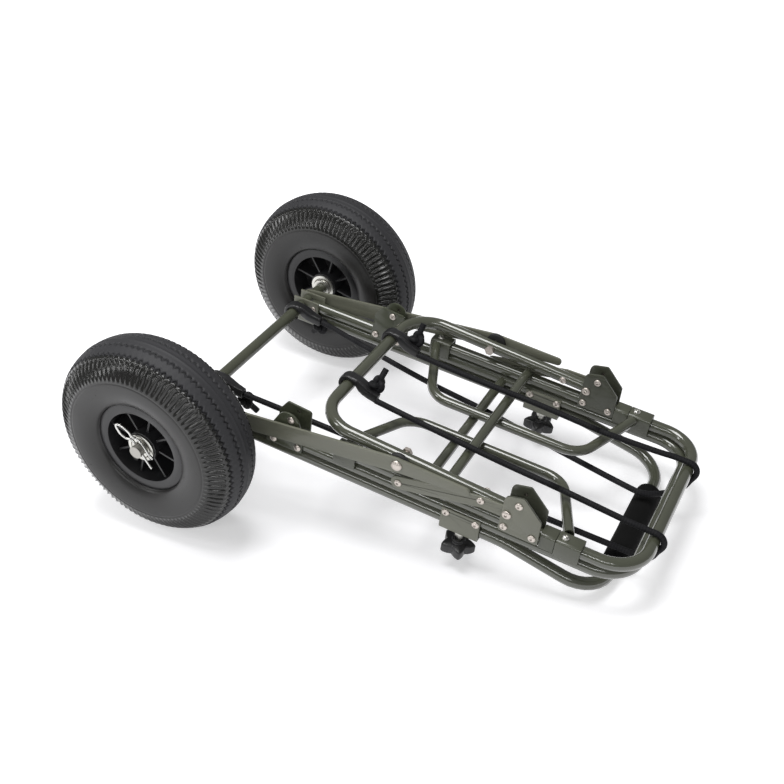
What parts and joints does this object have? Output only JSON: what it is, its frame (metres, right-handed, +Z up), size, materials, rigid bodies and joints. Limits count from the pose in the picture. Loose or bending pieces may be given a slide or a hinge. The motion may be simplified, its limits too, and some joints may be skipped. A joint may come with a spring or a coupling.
{
  "type": "fishing trolley",
  "caption": "Folded two-wheel fishing trolley with a tubular load bed, flip-up load rest, sliding handle with foam grip, and hooked elastic cords.",
  "frame": {"origin": "centre of the overall footprint, on the floor that the tyres and the foam grip stand on", "axes": "+X from the axle towards the grip, +Y towards the far wheel, +Z up"},
  "size_m": [0.7241, 0.5348, 0.26],
  "materials": {
    "olive_paint": "gloss powder coat",
    "plate_paint": "satin powder coat",
    "zinc": "zinc plated",
    "bright_steel": "polished rivet heads and wire",
    "black_plastic": "moulded, semi-gloss",
    "matte_black": "moulded, matte",
    "rim_plastic": "moulded, semi-gloss",
    "tyre_rubber": "matte",
    "foam": "closed-cell foam",
    "cord_cover": "braided cover"
  },
  "bodies": {
    "frame": {"main_frame": "olive_paint", "bed_frame": "olive_paint", "lower_crossbar": "olive_paint", "upper_crossbar": "olive_paint", "near_side_arm": "olive_paint", "far_side_arm": "olive_paint", "rail_end_clamps": "plate_paint", "arm_end_clamps": "plate_paint", "clamp_bolts": "zinc", "axle": "olive_paint", "axle_brackets": "plate_paint", "axle_washers": "zinc", "tube_plugs": "matte_black", "near_catch_bracket": "plate_paint", "far_catch_bracket": "plate_paint", "catch_pins": "bright_steel", "near_hinge_bracket": "plate_paint", "far_hinge_bracket": "plate_paint", "hinge_pins": "bright_steel", "near_knob_bracket": "plate_paint", "far_knob_bracket": "plate_paint", "knob_nuts": "zinc", "frame_rivets": "bright_steel", "bracket_spacers": "plate_paint", "near_lower_hook": "black_plastic", "far_lower_hook": "black_plastic", "near_cord": "cord_cover", "far_cord": "cord_cover"},
    "handle": {"handle_tube": "olive_paint", "handle_grip": "foam", "handle_plugs": "matte_black"},
    "load_rest": {"load_rest_tube": "olive_paint", "near_stay": "plate_paint", "far_stay": "plate_paint", "rest_rivets": "bright_steel", "prop_bolts": "bright_steel", "prop_washers": "matte_black", "near_upper_hook": "black_plastic", "far_upper_hook": "black_plastic"},
    "near_prop": {"near_prop": "plate_paint"},
    "far_prop": {"far_prop": "plate_paint"},
    "near_knob": {"near_knob": "black_plastic", "near_knob_stud": "zinc"},
    "far_knob": {"far_knob": "black_plastic", "far_knob_stud": "zinc"},
    "near_wheel": {"near_tyre": "tyre_rubber", "near_rim": "rim_plastic", "near_bearings": "zinc", "near_valve": "matte_black"},
    "far_wheel": {"far_tyre": "tyre_rubber", "far_rim": "rim_plastic", "far_bearings": "zinc", "far_valve": "matte_black"},
    "near_clip": {"near_clip": "bright_steel"},
    "far_clip": {"far_clip": "bright_steel"}
  },
  "joints": [
    {"name": "near_wheel_spin", "type": "hinge", "parent": "frame", "child": "near_wheel", "pos_m": [-0.23208, -0.216, 0.13], "axis": [0, 1, 0], "continuous": true},
    {"name": "far_wheel_spin", "type": "hinge", "parent": "frame", "child": "far_wheel", "pos_m": [-0.23208, 0.216, 0.13], "axis": [0, 1, 0], "continuous": true},
    {"name": "handle_slide", "type": "slide", "parent": "frame", "child": "handle", "axis": [0.9903, 0, -0.1388], "range_m": [0, 0.27]},
    {"name": "near_knob_turn", "type": "hinge", "parent": "frame", "child": "near_knob", "pos_m": [0.13233, -0.134, 0.0355], "axis": [0.1388, 0, 0.9903], "range_deg": [0, 360]},
    {"name": "far_knob_turn", "type": "hinge", "parent": "frame", "child": "far_knob", "pos_m": [0.13233, 0.134, 0.0355], "axis": [0.1388, 0, 0.9903], "range_deg": [0, 360]},
    {"name": "rest_fold", "type": "hinge", "parent": "frame", "child": "load_rest", "pos_m": [0.19543, 0, 0.10744], "axis": [0, 1, 0], "range_deg": [0, 76.8]},
    {"name": "near_prop_swing", "type": "hinge", "parent": "load_rest", "child": "near_prop", "pos_m": [0.05925, -0.149, 0.13324], "axis": [0, 1, 0], "range_deg": [-96, 0]},
    {"name": "far_prop_swing", "type": "hinge", "parent": "load_rest", "child": "far_prop", "pos_m": [0.05925, 0.149, 0.13324], "axis": [0, 1, 0], "range_deg": [-96, 0]},
    {"name": "near_clip_pull", "type": "slide", "parent": "frame", "child": "near_clip", "axis": [-0.5302, 0, 0.8479], "range_m": [0, 0.016]},
    {"name": "far_clip_pull", "type": "slide", "parent": "frame", "child": "far_clip", "axis": [-0.5302, 0, 0.8479], "range_m": [0, 0.016]}
  ],
  "couplings": [
    {"joint": "near_prop_swing", "follows": "rest_fold", "ratio": -1.2467},
    {"joint": "far_prop_swing", "follows": "rest_fold", "ratio": -1.2467}
  ]
}
